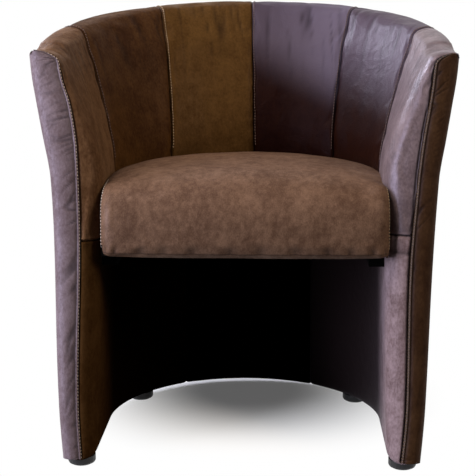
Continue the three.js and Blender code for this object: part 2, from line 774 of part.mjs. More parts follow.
// Elastic webbing, woven: each band passes over and under the ones that cross it
const webBottom = seatFrameBottom + seatFrameThick + gap;
const webRise = webThick + gap;
const webSides = [-1, 1];
const webMiddle = (seatFront + arcCentre + seatHalf) / 2;
const webReach = seatHalf - coverClear - seatFrameWidth / 2;
function band(length, crossings, place) {
  const knots = [{ t: length[0], up: 0 }];
  for (const { at, over } of crossings) {
    const half = webWidth / 2 + gap;
    const up = over ? webRise : 0;
    knots.push({ t: at - half - webRamp, up: 0 }, { t: at - half, up }, { t: at + half, up });
    knots.push({ t: at + half + webRamp, up: 0 });
  }
  knots.push({ t: length[1], up: 0 });
  return loft(knots.map(({ t, up }) => [[-1, 0], [1, 0], [1, webThick], [-1, webThick]]
    .map(([side, high]) => place(t, (side * webWidth) / 2, webBottom + up + high))));
}
const webNames = { lengthwise: ['left', 'right'], crosswise: ['front', 'rear'] };
webSides.forEach((column, k) => {
  const x = (column * webSpacing) / 2;
  const back = arcCentre + Math.sqrt(webReach ** 2 - (Math.abs(x) + webWidth / 2) ** 2);
  const crossings = webSides.map((row) => ({ at: webMiddle + (row * webSpacing) / 2, over: row === column }));
  const ends = [seatFront + seatFrameWidth / 2, back];
  const strip = band(ends, crossings, (t, w, z) => new THREE.Vector3(x + w, t, z));
  add(`webbing_${webNames.lengthwise[k]}`, strip, webbing);
});
webSides.forEach((row, k) => {
  const y = webMiddle + (row * webSpacing) / 2;
  const reach = Math.sqrt(webReach ** 2 - Math.max(y + webWidth / 2 - arcCentre, 0) ** 2);
  const crossings = webSides.map((column) => ({ at: (column * webSpacing) / 2, over: row !== column }));
  const strip = band([-reach, reach], crossings, (t, w, z) => new THREE.Vector3(t, y + w, z));
  add(`webbing_${webNames.crosswise[k]}`, strip, webbing);
});

// Seat sheet: rows run from the flap under the front, up the face, over the waterfall and back
const flapRow = { back: flapWidth, z: seatUnderside, crownShare: 0, bulgeShare: 0.3 };
const faceHigh = seatEdge - seatUnderside;
const sheetRows = [
  flapRow,
  { back: hem / 2, z: seatUnderside, crownShare: 0, bulgeShare: 0.5 },
  { back: 0, z: seatUnderside + hem / 2, crownShare: 0, bulgeShare: 0.55 },
  { back: faceLean * 0.3, z: seatUnderside + faceHigh * 0.25, crownShare: 0.05, bulgeShare: 0.95 },
  { back: faceLean, z: seatUnderside + faceHigh * 0.5, crownShare: 0.12, bulgeShare: 1 },
  { back: waterfallDepth * 0.14, z: seatUnderside + faceHigh * 0.7, crownShare: 0.22, bulgeShare: 0.8 },
  { back: waterfallDepth * 0.3, z: seatUnderside + faceHigh * 0.85, crownShare: 0.38, bulgeShare: 0.5 },
  { back: waterfallDepth * 0.58, z: seatUnderside + faceHigh * 0.95, crownShare: 0.58, bulgeShare: 0.2 },
  { back: waterfallDepth, z: seatEdge, crownShare: 0.8, bulgeShare: 0 },
];
const topRows = [
  { runShare: 0.25, crownShare: 0.97 },
  { runShare: 0.5, crownShare: 1 },
  { runShare: 0.75, crownShare: 0.85 },
  { runShare: 0.92, crownShare: 0.45 },
  { runShare: 1, crownShare: 0 },
];
function seatGrid(inset) {
  const half = seatHalf - inset;
  return seatColumns.map((a) => {
    const across = Math.sin(radians(a));
    const rounded = 1 - across ** 2;
    const x = half * across;
    const back = arcCentre + half * Math.cos(radians(a));
    const face = sheetRows.map(({ back: dy, z, crownShare, bulgeShare }) => new THREE.Vector3(
      x, seatFront + inset + dy - seatBulge * bulgeShare * rounded, z + seatCrown * crownShare * rounded,
    ));
    const start = seatFront + inset + waterfallDepth;
    const top = topRows.map(({ runShare, crownShare }) => new THREE.Vector3(
      x, lerp(start, back, runShare), seatEdge + seatCrown * crownShare * Math.sqrt(rounded),
    ));
    return [...face, ...top];
  });
}

// Moves each point of a grid along the surface's normal, to the inside
function sunk(points, depth) {
  return points.map((column, i) => column.map((p, j) => {
    const along = points[i][Math.min(j + 1, column.length - 1)].clone().sub(points[i][Math.max(j - 1, 0)]);
    const across = points[Math.min(i + 1, points.length - 1)][j].clone()
      .sub(points[Math.max(i - 1, 0)][j]);
    return p.clone().addScaledVector(along.cross(across).normalize(), depth);
  }));
}
const sheet = seatGrid(0);
const sheetInside = sunk(sheet, coverThick);
add('seat_cover', loft(sheet.map((column, i) => [...column, ...sheetInside[i].toReversed()])), leather);

// Seat band: the strip round the sides and back, sewn to the sheet's edge
const edge = sunk(sheet, coverClear);
const bandFirst = 3;
const lastRow = sheetRows.length + topRows.length - 1;
const rowsOfBand = Array.from({ length: lastRow - bandFirst }, (_, k) => k + bandFirst);
const bandPlaces = [
  ...rowsOfBand.map((j) => ({ side: -1, y: edge[0][j].y, z: edge[0][j].z })),
  ...seatColumns.map((a, i) => ({ angle: a, z: edge[i][lastRow].z })),
  ...rowsOfBand.toReversed().map((j) => ({ side: 1, y: edge[0][j].y, z: edge[0][j].z })),
];
add('seat_band', loft(bandPlaces.map(({ side, y, angle, z }) => {
  const at = (r, high) => (side
    ? new THREE.Vector3(side * r, y, high)
    : new THREE.Vector3(r * Math.sin(radians(angle)), arcCentre + r * Math.cos(radians(angle)), high));
  const low = seatFrameBottom;
  return [at(seatHalf, low), at(seatHalf, z), at(seatHalf - coverThick, z), at(seatHalf - coverThick, low)];
})), leather);

// Seat foam: fills the cover down to the webbing
function seatFoam() {
  const bottom = webBottom + webRise + webThick + gap;
  const top = sunk(seatGrid(coverClear + gap), coverClear + 2 * gap)
    .map((column) => column.slice(bandFirst));
  const rows = top[0].length;
  const points = top.flat();
  const faces = [];
  for (let i = 0; i + 1 < top.length; i += 1) {
    for (let j = 0; j + 1 < rows; j += 1) {
      const a = i * rows + j;
      faces.push(a, a + rows, a + 1, a + 1, a + rows, a + rows + 1);
    }
  }
  const rim = [
    ...Array.from({ length: rows }, (_, j) => j),
    ...Array.from({ length: top.length - 2 }, (_, i) => (i + 1) * rows + rows - 1),
    ...Array.from({ length: rows }, (_, j) => (top.length - 1) * rows + rows - 1 - j),
    ...Array.from({ length: top.length - 2 }, (_, i) => (top.length - 2 - i) * rows),
  ];
  const start = points.length;
  rim.forEach((k) => points.push(new THREE.Vector3(points[k].x, points[k].y, bottom)));
  rim.forEach((k, n) => {
    const next = (n + 1) % rim.length;
    faces.push(k, rim[next], start + n, rim[next], start + next, start + n);
  });
  faces.push(...cap(points.slice(start), start));
  return body(points, faces);
}
add('seat_foam', seatFoam(), foam);

export default chair;
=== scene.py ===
import functools
import math
import bmesh
import bpy
from mathutils import Euler, Matrix, Vector, noise


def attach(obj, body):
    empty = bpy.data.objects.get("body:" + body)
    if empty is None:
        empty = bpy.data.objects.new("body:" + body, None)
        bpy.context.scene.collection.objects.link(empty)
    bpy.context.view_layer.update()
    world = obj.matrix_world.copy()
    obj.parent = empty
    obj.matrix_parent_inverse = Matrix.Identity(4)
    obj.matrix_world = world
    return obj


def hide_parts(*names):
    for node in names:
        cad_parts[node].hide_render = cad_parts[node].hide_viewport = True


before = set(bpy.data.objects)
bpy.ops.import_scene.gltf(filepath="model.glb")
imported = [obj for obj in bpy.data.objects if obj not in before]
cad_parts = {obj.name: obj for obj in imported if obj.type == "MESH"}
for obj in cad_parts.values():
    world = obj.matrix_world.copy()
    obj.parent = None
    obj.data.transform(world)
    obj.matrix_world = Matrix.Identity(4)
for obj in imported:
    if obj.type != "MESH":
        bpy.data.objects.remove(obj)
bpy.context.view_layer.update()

scene = bpy.context.scene
scene.view_settings.view_transform = "Standard"

# ---- Camera ----
# It stands a little to the right of the chair's middle at the height of its rim, a long lens
# turned slightly left and down.
eye, focal_length = (0.0698, -2.09315, 0.7512), 88.13
look_down, look_left, tilt = 0.1977, 0.0407, -0.0018
camera = bpy.data.objects.new("camera", bpy.data.cameras.new("camera"))
camera.data.lens = focal_length
scene.collection.objects.link(camera)
scene.camera = camera
camera.matrix_world = (
    Matrix.Translation(eye)
    @ Euler((math.pi / 2 - look_down, 0, look_left)).to_matrix().to_4x4()
    @ Matrix.Rotation(tilt, 4, "Z")
)


# ---- Studio ----
# A floor that takes the lamps' shading under the chair and turns white further out, and four soft
# lamps: a wide one low on the left, one high on that side, one behind it and one on the right.
def material(name):
    made = bpy.data.materials.new(name)
    made.use_nodes = True
    made.node_tree.nodes.clear()
    return made, made.node_tree


def node(tree, kind, sockets=None, **settings):
    made = tree.nodes.new(kind)
    for key, value in settings.items():
        setattr(made, key, value)
    for socket, value in (sockets or {}).items():
        made.inputs[socket].default_value = value
    return made


def join(tree, start, end):
    tree.links.new(start, end)


def show_white(tree, shaded, white, output):
    """Camera, glossy and transmission rays meet the white look, all others the shaded one."""
    path, pick = node(tree, "ShaderNodeLightPath"), node(tree, "ShaderNodeMixShader")
    found = path.outputs["Is Camera Ray"]
    for kind in ("Is Glossy Ray", "Is Transmission Ray"):
        either = node(tree, "ShaderNodeMath", operation="MAXIMUM")
        join(tree, found, either.inputs[0])
        join(tree, path.outputs[kind], either.inputs[1])
        found = either.outputs[0]
    for socket, source in enumerate((found, shaded.outputs[0], white.outputs[0])):
        join(tree, source, pick.inputs[socket])
    join(tree, pick.outputs[0], node(tree, output).inputs[0])


floor_half, floor_drop, floor_bounce = 8, 0.0004, 0.07
shade_middle, shade_core, shade_end, least_glow = (0, 0.13, 0), 0.08, 0.4, 0.1
floor_mesh = bmesh.new()
bmesh.ops.create_grid(floor_mesh, x_segments=1, y_segments=1, size=floor_half)
bmesh.ops.translate(floor_mesh, verts=floor_mesh.verts, vec=(0, 0, -floor_drop))
floor = bpy.data.objects.new("floor", bpy.data.meshes.new("floor"))
floor_mesh.to_mesh(floor.data)
floor_mesh.free()
scene.collection.objects.link(floor)
floor_look, tree = material("pale_floor")
plain = node(tree, "ShaderNodeBsdfDiffuse", {"Color": (*[floor_bounce] * 3, 1)})
lit = node(tree, "ShaderNodeBsdfDiffuse", {"Color": (1, 1, 1, 1)})
glow = node(tree, "ShaderNodeEmission")
both = node(tree, "ShaderNodeMixShader")
where = node(tree, "ShaderNodeTexCoord")
offset = node(tree, "ShaderNodeVectorMath", {1: shade_middle}, operation="SUBTRACT")
reach = node(tree, "ShaderNodeVectorMath", operation="LENGTH")
fading = {"From Min": shade_core, "From Max": shade_end, "To Min": least_glow}
far = node(tree, "ShaderNodeMapRange", fading, interpolation_type="SMOOTHSTEP")
join(tree, where.outputs["Object"], offset.inputs[0])
join(tree, offset.outputs[0], reach.inputs[0])
join(tree, reach.outputs["Value"], far.inputs["Value"])
join(tree, far.outputs[0], both.inputs[0])
join(tree, lit.outputs[0], both.inputs[1])
join(tree, glow.outputs[0], both.inputs[2])
show_white(tree, plain, both, "ShaderNodeOutputMaterial")
floor.data.materials.append(floor_look)

world = bpy.data.worlds.new("studio")
scene.world = world
world.use_nodes = True
world.node_tree.nodes.clear()
air = node(world.node_tree, "ShaderNodeBackground", {"Strength": 0.06})
white = node(world.node_tree, "ShaderNodeBackground", {"Color": (1, 1, 1, 1)})
show_white(world.node_tree, air, white, "ShaderNodeOutputWorld")

for name, place, aim, size, power, colour in (
    ("left_softbox", (-2.45, -1.4, 0.85), (0, -0.1, 0.37), 1.4, 104, (0.86, 0.87, 1.0)),
    ("high_softbox", (-1.35, -0.75, 2.6), (0, 0, 0.5), 1.1, 58, (1.0, 0.86, 0.72)),
    ("rear_softbox", (-1.8, 1.5, 2.1), (0.25, -0.15, 0.5), 1.0, 68, (0.86, 0.87, 1.0)),
    ("right_softbox", (2.2, -1.3, 2.0), (-0.1, 0, 0.5), 1.2, 44, (1.0, 0.82, 0.62)),
):
    lamp = bpy.data.objects.new(name, bpy.data.lights.new(name, "AREA"))
    lamp.data.shape = "RECTANGLE"
    lamp.data.size = lamp.data.size_y = size
    lamp.data.energy = power
    lamp.data.color = colour
    lamp.location = place
    lamp.rotation_euler = (Vector(aim) - Vector(place)).to_track_quat("-Z", "Y").to_euler()
    scene.collection.objects.link(lamp)


# ---- Inside panels and the leather ----
# Six hides sewn edge to edge, drawn over foam from the lining up the inside, over the rolled rim
# and, on the arms, round the nose to the facing; each swells a little between its sunk seams.
mm = 0.001
# A station s runs round the wall in degrees: 0 at the back's middle, arc_end where the half circle
# ends, arm_end where the straight arm ends and front_end at its facing, negative on the left
arc_end, arm_end, front_end = 90, 180, 225
back_rim, side_rim, front_rim, seat_line, foot_high, rim_edge = 757, 690.5, 673, 480, 15, 749
arc_centre, front_lean, nose_deep = 193, 0.165, 38
left_drawn, drawn_middle, drawn_reach, left_corner_rise = 5, 450, 170, 5
levels = (0, 100, 330, 480, 560, 640, 700, 757)
# Half-widths: at the floor, the flare above it, and the share of the flare at each level
widths = {
    "arm_outer": (291, 57.5, (-0.01, 0.14, 0.31, 0.48, 0.65, 0.81, 0.93, 1)),
    "back_outer": (291, 107.5, (0.01, 0.08, 0.17, 0.33, 0.47, 0.62, 0.77, 1)),
    "arm_inner": (242.5, 57.5, (0, -0.04, -0.1, -0.11, 0.13, 0.48, 0.79, 1.18)),
    "back_inner": (242.5, 101, (0, 0, -0.03, -0.08, 0.09, 0.39, 0.69, 1.26)),
    "facing_left": (0, 43, (0.7, 0.745, 0.96, 1.07, 1.245, 1.27, 1.14, 1.14)),
    "facing_right": (0, 43, (0.72, 0.71, 0.84, 0.785, 0.85, 0.845, 0.87, 0.9)),
}


def mix(a, b, share):
    return a + (b - a) * share


def clamp(value, low=0.0, high=1.0):
    return min(max(value, low), high)


def bell(distance, wide):
    return math.exp(-((distance / wide) ** 2))


def sunk_edge(distance, swell, tuck, soft=22, sharp=3.2):
    """Height above a seam: tucked in at it, swollen away from it."""
    return swell * (1 - math.exp(-distance / soft)) - tuck * bell(distance, sharp)


@functools.lru_cache(maxsize=None)
def width(name, h):
    """Half-width at a height, by a smooth curve through the table's shares."""
    start, flare, table = widths[name]
    h = clamp(h, 0, back_rim)
    last = len(levels) - 1
    k = min(max(i for i in range(last + 1) if levels[i] <= h), last - 1)

    def slope(i):
        low, high = max(i - 1, 0), min(i + 1, last)
        return (table[high] - table[low]) / (levels[high] - levels[low])

    span = levels[k + 1] - levels[k]
    t = (h - levels[k]) / span
    share = (
        (2 * t**3 - 3 * t**2 + 1) * table[k] + (t**3 - 2 * t**2 + t) * span * slope(k)
        + (3 * t**2 - 2 * t**3) * table[k + 1] + (t**3 - t**2) * span * slope(k + 1)
    )
    return start + flare * share


def side_of(s):
    return -1 if s < 0 else 1


def arc_turn(s):
    return math.radians(min(abs(s), arc_end))


def backness(s):
    return math.cos(arc_turn(s)) ** 2


def outer(s, h):
    drawn = left_drawn * bell(h - drawn_middle, drawn_reach) * (1 - backness(s)) if s < 0 else 0
    return mix(width("arm_outer", h), width("back_outer", h), backness(s)) - drawn


def inner(s, h):
    return mix(width("arm_inner", h), width("back_inner", h), backness(s))


def seam_width(side, h):
    """Half-width of the seam between an arm's nose and its facing."""
    return outer(front_end * side, h) - width("facing_left" if side < 0 else "facing_right", h)


def rim_height(s):
    ahead = max(abs(s) - arc_end, 0) / (front_end - arc_end)
    drop = (side_rim - front_rim) * ahead**0.75 - (left_corner_rise * ahead**8 if s < 0 else 0)
    return mix(side_rim, back_rim, math.cos(arc_turn(s))) - drop


# The wall is deepest this far below its rim
wall_depth = arc_centre + outer(0, back_rim - 12)


def spot(s, r, h):
    """Place in metres of a station, a half-width and a height as the back's middle has it."""
    turn = arc_turn(s)
    above_seat = max(h - seat_line, 0) / (back_rim - seat_line)
    z = h if h < seat_line else mix(seat_line, rim_height(s), above_seat)
    leg = clamp((abs(s) - arc_end) / (arm_end - arc_end))
    nose = max(abs(s) - arm_end, 0) / (front_end - arm_end)
    straight = leg * (arc_centre - front_lean * (z - foot_high) - nose_deep) + nose * nose_deep
    y = arc_centre + r * math.cos(turn) - straight - wall_depth / 2
    return Vector((side_of(s) * r * math.sin(turn), y, z)) * mm


def along(points, t):
    """Point t of the way through a list of points, on a smooth curve through them."""
    place = clamp(t) * (len(points) - 1)
    k = min(int(place), len(points) - 2)
    f = place - k
    a, b, c, d = (Vector(points[clamp(k + j, 0, len(points) - 1)]) for j in (-1, 0, 1, 2))
    cubic = (3 * b - a - 3 * c + d) * f**3
    return 0.5 * (2 * b + (c - a) * f + (2 * a - 5 * b + 4 * c - d) * f**2 + cubic)


seam_level = 378


def seam_height(s):
    """Height of the seam between the inside panels and the lining: lower on the left arm."""
    return seam_level + (5 if s > 0 else -7) * clamp((abs(s) - 40) / 50)


face_heights = (412, 446, 480, 514, 548, 582, 616, 650, 684, 712)
rim_angles = (30, 60, 90, 120, 150, 180)
crest_share = (len(face_heights) + 3) / (len(face_heights) + len(rim_angles))
# The rolled rim: the height where it starts, its crest's share of the way out, and its rise
wall_roll, front_roll = (729, 0.62, 28), (722, 0.88, 33)


def roll(width_in, s, angle, start, crest_at, rise):
    """Half-width and height on the rolled rim, 0 degrees at its inner foot, 180 at its edge."""
    inside, outside, turn = width_in(start), outer(s, rim_edge), math.radians(angle)
    wide = (outside - inside) * (crest_at if angle <= 90 else 1 - crest_at)
    tall = rise if angle <= 90 else back_rim - rim_edge
    crest = mix(inside, outside, crest_at)
    return crest - wide * math.cos(turn), back_rim - tall + tall * math.sin(turn)


def front_rim_at(side, angle):
    return roll(functools.partial(seam_width, side), front_end * side, angle, *front_roll)


def inside_profile(s):
    face = [(inner(s, h), h) for h in (seam_height(s), *face_heights)]
    return face + [roll(functools.partial(inner, s), s, angle, *wall_roll) for angle in rim_angles]


def seam_profile(side):
    face = [(seam_width(side, h), h) for h in (seam_height(front_end * side), *face_heights)]
    return face + [front_rim_at(side, angle) for angle in rim_angles]


back_profile = inside_profile(0)
arm_profiles = {side: inside_profile(arm_end * side) for side in (-1, 1)}
front_profiles = {side: seam_profile(side) for side in (-1, 1)}


def nose_spot(s, start, end):
    """Place on an arm's rounded nose, a quarter turn from the arm's inner side to the facing."""
    a, b = spot(side_of(s) * arm_end, *start), spot(side_of(s) * front_end, *end)
    turn = math.radians(abs(s) - arm_end) * 2
    across = 1 - math.cos(turn)
    return Vector((mix(a.x, b.x, across), mix(a.y, b.y, math.sin(turn)), mix(a.z, b.z, across)))


def inside_spot(s, w):
    if abs(s) <= arm_end:
        return spot(s, *along(inside_profile(s), w))
    return nose_spot(s, along(arm_profiles[side_of(s)], w), along(front_profiles[side_of(s)], w))


def inflate(piece, pins, pressure, cap, grow, frames=20):
    """Blows the hide up from inside as cloth, held at its seams; no point moves beyond the cap."""
    piece.vertex_groups.new(name="seams").add(pins, 1.0, "REPLACE")
    cloth = piece.modifiers.new("cloth", "CLOTH")
    cloth.point_cache.frame_end = frames
    for key, value in {
        "quality": 5, "tension_stiffness": 15, "compression_stiffness": 15, "shear_stiffness": 5,
        "bending_stiffness": 0.3, "shrink_min": -grow, "use_pressure": True,
        "uniform_pressure_force": pressure, "vertex_group_mass": "seams",
    }.items():
        setattr(cloth.settings, key, value)
    cloth.settings.effector_weights.gravity = 0
    cloth.collision_settings.use_collision = False
    for frame_number in range(1, frames + 1):
        scene.frame_set(frame_number)
    blown = piece.evaluated_get(bpy.context.evaluated_depsgraph_get())
    pairs = zip(blown.data.vertices, piece.data.vertices)
    moves = [after.co - before.co for after, before in pairs]
    piece.modifiers.remove(cloth)
    scene.frame_set(1)
    for v, move in zip(piece.data.vertices, moves):
        v.co += move * min(1, cap * mm / max(move.length, mm / 1000))
    piece.data.update()


hide_thick = 1.6


def sheet_of(name, across, up, place, lift, facing_way, dense=0.85, cloth=None):
    """A hide: a grid put in place, lifted along its normals and marked, then given its thickness.

    lift gives each point's rise in mm and its mark of painted light, from -1 for painted shade in a
    crease to 1 for a painted highlight on a ridge; dense crowds the columns at the side edges;
    cloth is inflate's pressure, cap and growth.
    """
    mesh = bmesh.new()
    bmesh.ops.create_grid(mesh, x_segments=across, y_segments=up, size=0.5)
    rows = [[None] * (across + 1) for _ in range(up + 1)]
    for v in mesh.verts:
        t, w = v.co.x + 0.5, v.co.y + 0.5
        u = t - dense * math.sin(2 * math.pi * t) / (2 * math.pi)
        rows[round(w * up)][round(t * across)] = (v, u, w)
    for row in rows:
        for v, u, w in row:
            v.co = place(u, w)
    mesh.normal_update()
    middle = rows[up // 4][across // 2][0]
    if middle.normal.dot(facing_way(middle.co)) < 0:
        bmesh.ops.reverse_faces(mesh, faces=mesh.faces)
        mesh.normal_update()
    painted_light_marks = {}
    for row in rows:
        wide = sum((b[0].co - a[0].co).length for a, b in zip(row, row[1:])) / mm
        for v, u, w in row:
            high, painted_light_marks[v] = lift(u, w, u * wide, (1 - u) * wide)
            v.co = v.co + v.normal * high * mm
    mesh.verts.index_update()
    order = [[v.index for v, _, _ in row] for row in rows]
    for face in mesh.faces:
        face.smooth = True
    piece = bpy.data.objects.new(name, bpy.data.meshes.new(name))
    mesh.to_mesh(piece.data)
    values = piece.data.attributes.new("painted_light_marks", "FLOAT", "POINT")
    values.data.foreach_set("value", [painted_light_marks[v] for v in mesh.verts])
    mesh.free()
    scene.collection.objects.link(piece)
    if cloth:
        border = {*order[0], *order[-1], *(row[0] for row in order), *(row[-1] for row in order)}
        inflate(piece, sorted(border), *cloth)
    points = piece.data.vertices
    lines = [[(points[i].co.copy(), points[i].normal.copy()) for i in row] for row in order]
    skin = piece.modifiers.new("leather_thickness", "SOLIDIFY")
    skin.thickness = hide_thick * mm
    skin.offset = -1
    return piece, lines


def group(name, inputs, outputs):
    made = bpy.data.node_groups.new(name, "ShaderNodeTree")
    for label, kind, value in inputs:
        made.interface.new_socket(label, in_out="INPUT", socket_type=kind).default_value = value
    for label, kind in outputs:
        made.interface.new_socket(label, in_out="OUTPUT", socket_type=kind)
    return made, node(made, "NodeGroupInput"), node(made, "NodeGroupOutput")


# Cloudy wear of an oiled hide: broad patches, streaks along the height and fine flecks
hide_clouds, given, put = group(
    "hide_clouds",
    [("Deep", "NodeSocketColor", (0.03, 0.015, 0.008, 1)),
     ("Worn", "NodeSocketColor", (0.1, 0.06, 0.04, 1)), ("Scale", "NodeSocketFloat", 1.0)],
    [("Color", "NodeSocketColor"), ("Wear", "NodeSocketFloat")],
)
where = node(hide_clouds, "ShaderNodeTexCoord")
stretch = node(hide_clouds, "ShaderNodeMapping", {"Scale": (1, 1, 0.7)})
join(hide_clouds, where.outputs["Object"], stretch.inputs["Vector"])
clouds = []
for size, rough in ((8, 0.6), (45, 0.65), (260, 0.6)):
    scaled = node(hide_clouds, "ShaderNodeMath", {1: size}, operation="MULTIPLY")
    cloud = node(hide_clouds, "ShaderNodeTexNoise", {"Detail": 5, "Roughness": rough})
    join(hide_clouds, given.outputs["Scale"], scaled.inputs[0])
    join(hide_clouds, stretch.outputs[0], cloud.inputs["Vector"])
    join(hide_clouds, scaled.outputs[0], cloud.inputs["Scale"])
    clouds.append(cloud)
part = node(hide_clouds, "ShaderNodeMix", {0: 0.5}, data_type="FLOAT")
whole = node(hide_clouds, "ShaderNodeMix", {0: 0.3}, data_type="FLOAT")
spread = node(
    hide_clouds, "ShaderNodeMapRange", {"From Min": 0.36, "From Max": 0.66},
    interpolation_type="SMOOTHSTEP",
)
tint = node(hide_clouds, "ShaderNodeMix", data_type="RGBA")
join(hide_clouds, clouds[0].outputs[0], part.inputs[2])
join(hide_clouds, clouds[1].outputs[0], part.inputs[3])
join(hide_clouds, part.outputs[0], whole.inputs[2])
join(hide_clouds, clouds[2].outputs[0], whole.inputs[3])
join(hide_clouds, whole.outputs[0], spread.inputs["Value"])
join(hide_clouds, spread.outputs[0], tint.inputs[0])
join(hide_clouds, given.outputs["Deep"], tint.inputs[6])
join(hide_clouds, given.outputs["Worn"], tint.inputs[7])
join(hide_clouds, tint.outputs[2], put.inputs["Color"])
join(hide_clouds, spread.outputs[0], put.inputs["Wear"])

# Grain and soft creases of the hide, as a height
hide_grain, given, put = group(
    "hide_grain",
    [("Creases", "NodeSocketFloat", 0.5), ("Grain", "NodeSocketFloat", 0.5)],
    [("Height", "NodeSocketFloat")],
)
where = node(hide_grain, "ShaderNodeTexCoord")
pores = node(hide_grain, "ShaderNodeTexVoronoi", {"Scale": 520}, feature="SMOOTH_F1")
folds = node(hide_grain, "ShaderNodeTexNoise", {"Scale": 34, "Detail": 4, "Distortion": 1.1})
fine = node(hide_grain, "ShaderNodeMath", operation="MULTIPLY")
broad = node(hide_grain, "ShaderNodeMath", operation="MULTIPLY")
total = node(hide_grain, "ShaderNodeMath", operation="ADD")
join(hide_grain, where.outputs["Object"], pores.inputs["Vector"])
join(hide_grain, where.outputs["Object"], folds.inputs["Vector"])
join(hide_grain, pores.outputs["Distance"], fine.inputs[0])
join(hide_grain, given.outputs["Grain"], fine.inputs[1])
join(hide_grain, folds.outputs[0], broad.inputs[0])
join(hide_grain, given.outputs["Creases"], broad.inputs[1])
join(hide_grain, fine.outputs[0], total.inputs[0])
join(hide_grain, broad.outputs[0], total.inputs[1])
join(hide_grain, total.outputs[0], put.inputs["Height"])


def leather(
    name, deep, worn, smooth=0.42, matte=0.62, gloss=0.5, sheen=0.15, creases=1.2, grain=0.25,
    scale=1.0, edge=None, top=None, ramp=(0.62, 0.78, 0.35, 1),
):
    """Oiled leather between a deep and a worn tone; edge is the tone of its ridges' painted
    highlight.

    top is a painted sheen near the rim, a paler tone standing in for the lamps' highlight: ramp
    gives the heights where it starts and is full, how much these fall toward the right, and its
    share at the chair's middle.
    """
    made, tree = material(name)
    clouds = node(
        tree, "ShaderNodeGroup", {"Deep": (*deep, 1), "Worn": (*worn, 1), "Scale": scale},
        node_tree=hide_clouds,
    )
    skin = node(tree, "ShaderNodeGroup", {"Creases": creases, "Grain": grain}, node_tree=hide_grain)
    relief = node(tree, "ShaderNodeBump", {"Strength": 0.55, "Distance": 0.0016})
    polish = node(tree, "ShaderNodeMapRange", {"To Min": matte, "To Max": smooth})
    painted_light_marks = node(tree, "ShaderNodeAttribute", attribute_name="painted_light_marks")
    shades = clouds.outputs["Color"]
    # Painted highlight: the colour pales toward the rim and toward the right, where the lamps'
    # sheen falls.
    if top:
        low, full, fall, left_share = ramp
        where, split = node(tree, "ShaderNodeTexCoord"), node(tree, "ShaderNodeSeparateXYZ")
        slanted = node(tree, "ShaderNodeMath", {1: fall}, operation="MULTIPLY_ADD")
        painted_sheen_rise = node(
            tree, "ShaderNodeMapRange", {"From Min": low, "From Max": full},
            interpolation_type="SMOOTHSTEP",
        )
        rightward = node(
            tree, "ShaderNodeMapRange", {"From Min": -0.05, "From Max": 0.2, "To Min": left_share},
        )
        share = node(tree, "ShaderNodeMath", operation="MULTIPLY")
        lighter = node(tree, "ShaderNodeMix", {7: (*top, 1)}, data_type="RGBA")
        join(tree, where.outputs["Object"], split.inputs[0])
        join(tree, split.outputs["X"], slanted.inputs[0])
        join(tree, split.outputs["Z"], slanted.inputs[2])
        join(tree, slanted.outputs[0], painted_sheen_rise.inputs["Value"])
        join(tree, split.outputs["X"], rightward.inputs["Value"])
        join(tree, painted_sheen_rise.outputs[0], share.inputs[0])
        join(tree, rightward.outputs[0], share.inputs[1])
        join(tree, share.outputs[0], lighter.inputs[0])
        join(tree, shades, lighter.inputs[6])
        shades = lighter.outputs[2]
    # Painted light: a mark below zero paints shade in a dark tone, one above zero a highlight in a
    # pale tone.
    crease_shade_tone = [value * 0.16 for value in deep]
    ridge_highlight_tone = edge or [value * 1.9 for value in worn]
    for full_mark, tone in ((-1, crease_shade_tone), (1, ridge_highlight_tone)):
        amount = node(tree, "ShaderNodeMapRange", {"From Max": full_mark})
        marked = node(tree, "ShaderNodeMix", {7: (*tone, 1)}, data_type="RGBA")
        join(tree, painted_light_marks.outputs["Fac"], amount.inputs["Value"])
        join(tree, amount.outputs[0], marked.inputs[0])
        join(tree, shades, marked.inputs[6])
        shades = marked.outputs[2]
    shader = node(tree, "ShaderNodeBsdfPrincipled", {
        "Specular IOR Level": gloss, "Specular Tint": (0.84, 0.76, 1.0, 1),
        "Sheen Weight": sheen, "Sheen Roughness": 0.45, "Sheen Tint": (0.62, 0.56, 0.68, 1),
    })
    join(tree, clouds.outputs["Wear"], polish.inputs["Value"])
    join(tree, skin.outputs[0], relief.inputs["Height"])
    join(tree, shades, shader.inputs["Base Color"])
    join(tree, polish.outputs[0], shader.inputs["Roughness"])
    join(tree, relief.outputs[0], shader.inputs["Normal"])
    join(tree, shader.outputs[0], node(tree, "ShaderNodeOutputMaterial").inputs[0])
    return made


# Each seam as its station at the seat line and at the rim
seams = {
    "left_front": (-front_end, -front_end), "left_side": (-79, -70), "left_back": (-37.7, -30),
    "middle": (2.4, 0.4), "right_back": (42.5, 34.8), "right_side": (83.6, 72),
    "right_front": (front_end, front_end),
}
# Lengths along an arm's inside at its stations, and for each degree of the half circle
arm_lengths, arc_length = ((arc_end, 0), (arm_end, 96), (front_end, 166)), 5.4


def seam_station(name, w):
    low, high = seams[name]
    above_seat = along(back_profile, w)[1] - seat_line
    rise = 1 if w > crest_share else clamp(above_seat / (back_rim - seat_line))
    return mix(low, high, rise)


def station_at(knots, want):
    """Station at a length along the wall, from pairs of station and length."""
    for (a, la), (b, lb) in zip(knots, knots[1:]):
        if want <= lb:
            return mix(a, b, (want - la) / (lb - la))
    return knots[-1][0]


def arm_station(start, u):
    """Station on an arm, u of the way by length from its side seam to the front."""
    knots = [(abs(start), -(arc_end - abs(start)) * arc_length), *arm_lengths]
    return station_at(knots, mix(knots[0][1], knots[-1][1], u))


def to_sitter(point):
    return Vector((0, (arc_centre - wall_depth / 2) * mm, point.z)) - point


